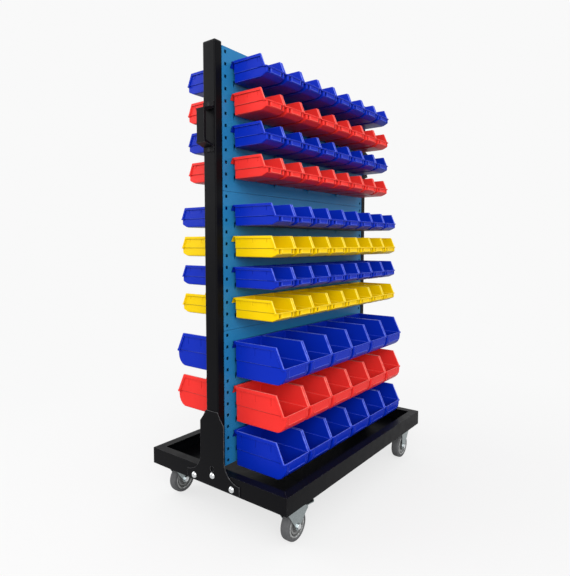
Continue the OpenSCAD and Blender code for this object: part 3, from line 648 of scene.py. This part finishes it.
def steel_parts(materials):
    """The folded, welded and turned parts."""
    black, blue = materials["black_paint"], materials["panel_blue"]
    zinc, bright = materials["zinc"], materials["bright_steel"]
    finished("tray_floor", "frame", black, SHEET_BREAK)
    finished("tray_rails", "frame", black, RAIL_BREAK)
    for end in ("left", "right"):
        finished(f"upright_{end}", "frame", black, TUBE_BREAK)
        finished(f"foot_plate_{end}", "frame", black, PLATE_BREAK)
        finished(f"handle_{end}", "frame", black, HANDLE_BREAK, 3)
    for panel in PANELS:
        finished(panel, "frame", blue, SHEET_BREAK, 1)
    finished("upright_caps", "frame", materials["black_plastic"], CAP_BREAK)
    finished("handle_screws", "frame", materials["black_steel"], SCREW_BREAK, 1)
    finished("foot_bolts", "frame", bright, BOLT_BREAK)
    for node in ("panel_screws", "caster_bolts", "caster_plates", "kingpins"):
        finished(node, "frame", zinc, BOLT_BREAK, 1)
    for corner in CORNERS:
        finished(f"fork_{corner}", f"caster_{corner}", zinc, PRESSED_BREAK)
        finished(f"axle_{corner}", f"caster_{corner}", bright, AXLE_BREAK)
    for corner in BRAKED:
        finished(f"brake_pedal_{corner}", f"pedal_{corner}", zinc, PRESSED_BREAK)


# Materials

class Surface:
    """A material being built: a Principled shader with helpers for its textures."""

    def __init__(self, name, roughness, gloss=0.5, metallic=0.0):
        self.material = bpy.data.materials.new(name)
        self.material.use_nodes = True
        tree = self.material.node_tree
        self.nodes, self.links = tree.nodes, tree.links
        self.shader = self.nodes["Principled BSDF"]
        self.shader.inputs["Roughness"].default_value = roughness
        self.shader.inputs["Specular IOR Level"].default_value = gloss
        self.shader.inputs["Metallic"].default_value = metallic
        self.place = self.nodes.new("ShaderNodeTexCoord").outputs["Object"]

    def noise(self, scale, detail=3.0, stretch=(1, 1, 1)):
        """A noise value from 0 to 1, with a scale in cells per metre."""
        mapping = self.nodes.new("ShaderNodeMapping")
        mapping.inputs["Scale"].default_value = stretch
        self.links.new(self.place, mapping.inputs["Vector"])
        texture = self.nodes.new("ShaderNodeTexNoise")
        texture.inputs["Scale"].default_value = scale
        texture.inputs["Detail"].default_value = detail
        self.links.new(mapping.outputs["Vector"], texture.inputs["Vector"])
        return texture.outputs["Fac"]

    def cells(self, scale):
        """A random value for each cell of a pattern of grains."""
        texture = self.nodes.new("ShaderNodeTexVoronoi")
        texture.inputs["Scale"].default_value = scale
        self.links.new(self.place, texture.inputs["Vector"])
        return texture.outputs["Color"]

    def ramp(self, value, low, high):
        """A value spread evenly from low to high, over the middle of the noise."""
        spread = self.nodes.new("ShaderNodeMapRange")
        spread.inputs["From Min"].default_value = 0.3
        spread.inputs["From Max"].default_value = 0.7
        spread.inputs["To Min"].default_value = low
        spread.inputs["To Max"].default_value = high
        self.links.new(value, spread.inputs["Value"])
        return spread.outputs["Result"]

    def attribute(self, name):
        """A value that the mesh carries."""
        node = self.nodes.new("ShaderNodeAttribute")
        node.attribute_name = name
        return node.outputs["Fac"]

    def product(self, first, second):
        """The product of an output and an output or number, kept within 0 and 1."""
        node = self.nodes.new("ShaderNodeMath")
        node.operation = "MULTIPLY"
        node.use_clamp = True
        self.links.new(first, node.inputs[0])
        if isinstance(second, (int, float)):
            node.inputs[1].default_value = second
        else:
            self.links.new(second, node.inputs[1])
        return node.outputs["Value"]

    def blend(self, factor, first, second):
        """Two colours, or the outputs of nodes, mixed by a factor."""
        mix = self.nodes.new("ShaderNodeMix")
        mix.data_type = "RGBA"
        self.links.new(factor, mix.inputs["Factor"])
        for name, colour in (("A", first), ("B", second)):
            if isinstance(colour, tuple):
                mix.inputs[name].default_value = (*colour, 1)
            else:
                self.links.new(colour, mix.inputs[name])
        return mix.outputs["Result"]

    def colours(self, value, first, second, edge_highlight=None):
        """Two colours mixed by a value, a third in patches along the edges as a painted highlight and a dark
        one in the crevices as painted shade.
        """
        colour = self.blend(self.ramp(value, 0, 1), first, second)
        if edge_highlight:
            # Faces above 0 get the pale colour as a painted highlight, and faces below 0 a darker one as
            # painted shade.
            edge = self.attribute("edge")
            share = self.product(edge, self.ramp(self.noise(70, 4), HIGHLIGHT_PATCH_LEAST, 1))
            colour = self.blend(share, colour, edge_highlight)
            colour = self.blend(self.product(edge, -1), colour, shade(first, PAINTED_SHADE_SHARE))
        self.links.new(colour, self.shader.inputs["Base Color"])

    def rough(self, value, low, high):
        self.links.new(self.ramp(value, low, high), self.shader.inputs["Roughness"])

    def bump(self, value, depth, strength=1.0):
        bump = self.nodes.new("ShaderNodeBump")
        bump.inputs["Strength"].default_value = strength
        bump.inputs["Distance"].default_value = depth
        self.links.new(value, bump.inputs["Height"])
        self.links.new(bump.outputs["Normal"], self.shader.inputs["Normal"])


# Least share of the painted highlight in its patches along the edges, and the share of a colour kept in
# painted shade
HIGHLIGHT_PATCH_LEAST = 0.35
PAINTED_SHADE_SHARE = 0.35


def shade(colour, share):
    return tuple(c * share for c in colour)


def moulded(name, colour, edge_highlight):
    """Satin moulded plastic, with a faint cloudiness, a fine grain, paler edges as a painted highlight and
    darker slots as painted shade.
    """
    s = Surface(name, 0.4, 0.1)
    s.colours(s.noise(9, 4), shade(colour, 0.94), colour, edge_highlight)
    s.rough(s.noise(60, 4), 0.34, 0.44)
    s.bump(s.noise(1600, 2), 0.05 * MM, 0.5)
    return s.material


def powder_coat(name, colour, edge_highlight, low, high, gloss=0.14):
    """Sprayed paint with the fine orange peel of a powder coat, paler along the edges as a painted highlight.
    """
    s = Surface(name, low, gloss)
    s.colours(s.noise(5, 5), shade(colour, 0.9), colour, edge_highlight)
    s.rough(s.noise(30, 5), low, high)
    s.bump(s.noise(420, 2), 0.06 * MM, 0.6)
    return s.material


def plated(name, colour, low, high, grain):
    """Plated metal, with grains that vary in tone and a brushed unevenness."""
    s = Surface(name, low, metallic=1.0)
    s.colours(s.cells(grain), shade(colour, 0.86), colour)
    s.rough(s.noise(140, 5, (1, 1, 4)), low, high)
    s.bump(s.noise(900, 3), 0.03 * MM, 0.5)
    return s.material


def rubber(name, colour):
    """Grey rubber, dusty and matt."""
    s = Surface(name, 0.75, 0.2)
    s.colours(s.noise(80, 6), shade(colour, 0.82), colour)
    s.rough(s.noise(160, 4), 0.62, 0.85)
    s.bump(s.noise(900, 3), 0.08 * MM, 0.6)
    return s.material


def ringed(name, tones):
    """Satin grey rim, paler on its rings and darker in its grooves, which is painted shade."""
    s = Surface(name, 0.3, 0.3)
    rings = s.nodes.new("ShaderNodeValToRGB")
    steps = rings.color_ramp.elements
    while len(steps) < len(tones):
        steps.new(0)
    widest = tones[-1][0]
    for step, (radius, tone) in zip(steps, tones):
        step.position = radius / widest
        step.color = (tone, tone * 1.03, tone * 1.02, 1)
    spread = s.nodes.new("ShaderNodeMapRange")
    spread.inputs["From Max"].default_value = widest * MM
    s.links.new(s.attribute("reach"), spread.inputs["Value"])
    s.links.new(spread.outputs["Result"], rings.inputs["Fac"])
    s.colours(s.noise(120, 4), rings.outputs["Color"], (0.12, 0.12, 0.12))
    s.rough(s.noise(90, 4), 0.26, 0.4)
    s.bump(s.noise(900, 3), 0.03 * MM, 0.5)
    return s.material


def make_materials():
    return {
        # The last colour given for each paint and plastic is its painted highlight along the edges.
        "bin_blue": moulded("bin_blue", (0.002, 0.024, 0.47), (0.13, 0.19, 0.82)),
        "bin_red": moulded("bin_red", (0.91, 0.036, 0.03), (0.97, 0.2, 0.16)),
        "bin_yellow": moulded("bin_yellow", (0.94, 0.63, 0.0), (0.98, 0.82, 0.1)),
        "black_paint": powder_coat("black_paint", (0.004, 0.004, 0.005), (0.2, 0.2, 0.21), 0.3, 0.42, 0.05),
        "panel_blue": powder_coat("panel_blue", (0.02, 0.2, 0.43), (0.12, 0.32, 0.55), 0.28, 0.38),
        "black_plastic": moulded("black_plastic", (0.004, 0.004, 0.005), (0.06, 0.06, 0.065)),
        "black_steel": powder_coat("black_steel", (0.006, 0.006, 0.007), (0.12, 0.12, 0.12), 0.35, 0.5),
        "zinc": plated("zinc", (0.31, 0.35, 0.355), 0.26, 0.4, 300),
        "bright_steel": plated("bright_steel", (0.66, 0.68, 0.69), 0.1, 0.2, 500),
        "rim_grey": ringed("rim_grey", RIM_TONES),
        "tyre": rubber("tyre", (0.115, 0.116, 0.12)),
    }


# Stage, light and camera

BACKGROUND = 0.947
SKY_LIGHT = 0.9
FLOOR_SIZE = 60
FLOOR_COLOUR = 0.3
SHADOW_COLOUR = 0.8
FLOOR_SHADOW = 0.25
FLOOR_FADE = (0.7, 2.2)


def seen(nodes, links):
    """1 where a ray comes from the camera, a mirror-like surface or glass, and 0 elsewhere."""
    path = nodes.new("ShaderNodeLightPath")
    total = path.outputs["Is Camera Ray"]
    for name in ("Is Glossy Ray", "Is Transmission Ray"):
        most = nodes.new("ShaderNodeMath")
        most.operation = "MAXIMUM"
        links.new(total, most.inputs[0])
        links.new(path.outputs[name], most.inputs[1])
        total = most.outputs["Value"]
    return total


def make_world():
    """A pale surround that lights the object softly from all sides."""
    world = bpy.data.worlds.new("surround")
    world.use_nodes = True
    nodes, links = world.node_tree.nodes, world.node_tree.links
    shown = nodes["Background"]
    shown.inputs["Color"].default_value = (BACKGROUND, BACKGROUND, BACKGROUND, 1)
    light = nodes.new("ShaderNodeBackground")
    light.inputs["Color"].default_value = (SKY_LIGHT, SKY_LIGHT, SKY_LIGHT, 1)
    mix = nodes.new("ShaderNodeMixShader")
    links.new(seen(nodes, links), mix.inputs["Fac"])
    links.new(light.outputs["Background"], mix.inputs[1])
    links.new(shown.outputs["Background"], mix.inputs[2])
    links.new(mix.outputs["Shader"], nodes["World Output"].inputs["Surface"])
    bpy.context.scene.world = world


def make_floor():
    """A pale floor that keeps a faint shadow near the object and is as pale as the surround farther off."""
    bm = bmesh.new()
    bmesh.ops.create_grid(bm, x_segments=1, y_segments=1, size=FLOOR_SIZE / 2)
    mesh = bpy.data.meshes.new("floor")
    bm.to_mesh(mesh)
    bm.free()
    floor = bpy.data.objects.new("floor", mesh)
    bpy.context.scene.collection.objects.link(floor)
    material = bpy.data.materials.new("floor")
    material.use_nodes = True
    nodes, links = material.node_tree.nodes, material.node_tree.links
    nodes.remove(nodes["Principled BSDF"])
    matt = nodes.new("ShaderNodeBsdfDiffuse")
    matt.inputs["Color"].default_value = (FLOOR_COLOUR, FLOOR_COLOUR, FLOOR_COLOUR, 1)
    shadow = nodes.new("ShaderNodeBsdfDiffuse")
    shadow.inputs["Color"].default_value = (SHADOW_COLOUR, SHADOW_COLOUR, SHADOW_COLOUR, 1)
    glow = nodes.new("ShaderNodeEmission")
    glow.inputs["Color"].default_value = (BACKGROUND, BACKGROUND, BACKGROUND, 1)
    away = nodes.new("ShaderNodeVectorMath")
    away.operation = "LENGTH"
    links.new(nodes.new("ShaderNodeTexCoord").outputs["Object"], away.inputs[0])
    fade = nodes.new("ShaderNodeMapRange")
    fade.interpolation_type = "SMOOTHSTEP"
    fade.inputs["From Min"].default_value, fade.inputs["From Max"].default_value = FLOOR_FADE
    fade.inputs["To Min"].default_value = FLOOR_SHADOW
    fade.inputs["To Max"].default_value = 0
    links.new(away.outputs["Value"], fade.inputs["Value"])
    pale = nodes.new("ShaderNodeMixShader")
    links.new(fade.outputs["Result"], pale.inputs["Fac"])
    links.new(glow.outputs["Emission"], pale.inputs[1])
    links.new(shadow.outputs["BSDF"], pale.inputs[2])
    mix = nodes.new("ShaderNodeMixShader")
    links.new(seen(nodes, links), mix.inputs["Fac"])
    links.new(matt.outputs["BSDF"], mix.inputs[1])
    links.new(pale.outputs["Shader"], mix.inputs[2])
    links.new(mix.outputs["Shader"], nodes["Material Output"].inputs["Surface"])
    mesh.materials.append(material)


# Each lamp's place, size and power in watts, and the point that they face
LAMPS = {
    "key": ((-3.0, -2.6, 2.2), 2.5, 106),
    "front_fill": ((-0.6, -4.0, 1.2), 2.5, 8),
    "back_fill": ((-2.2, 3.6, 2.4), 3.0, 70),
}
LAMP_TARGET = (0, 0, 0.8)


def soft_box(name, place, size, power):
    """A square lamp that faces the object."""
    lamp = bpy.data.lights.new(name, "AREA")
    lamp.size = size
    lamp.energy = power
    holder = bpy.data.objects.new(name, lamp)
    bpy.context.scene.collection.objects.link(holder)
    holder.location = place
    holder.rotation_euler = (Vector(LAMP_TARGET) - Vector(place)).to_track_quat("-Z", "Y").to_euler()


# The photograph's camera: its frame, focal length and shift in pixels, its place, and its turns in degrees
PICTURE_HEIGHT = 576
FOCAL_LENGTH = 499.57
SHIFT_RIGHT = 2.51
SHIFT_UP = -9.06
CAMERA_PLACE = (-1.60715, -1.15214, 0.92591)
CAMERA_DOWN = 4.017
CAMERA_RIGHT = 52.437


def make_camera():
    """The photograph's view, of 570 by 576 pixels."""
    camera = bpy.data.cameras.new("camera")
    camera.sensor_fit = "VERTICAL"
    camera.sensor_height = 36
    camera.lens = FOCAL_LENGTH / PICTURE_HEIGHT * camera.sensor_height
    camera.shift_x = SHIFT_RIGHT / PICTURE_HEIGHT
    camera.shift_y = SHIFT_UP / PICTURE_HEIGHT
    holder = bpy.data.objects.new("camera", camera)
    bpy.context.scene.collection.objects.link(holder)
    holder.location = CAMERA_PLACE
    holder.rotation_euler = (math.radians(90 - CAMERA_DOWN), 0, math.radians(-CAMERA_RIGHT))
    bpy.context.scene.camera = holder


materials = make_materials()
bin_rows(materials)
wheels(materials)
steel_parts(materials)

bpy.context.scene.view_settings.view_transform = "Standard"
make_world()
make_floor()
for name, (place, size, power) in LAMPS.items():
    soft_box(name, place, size, power)
make_camera()
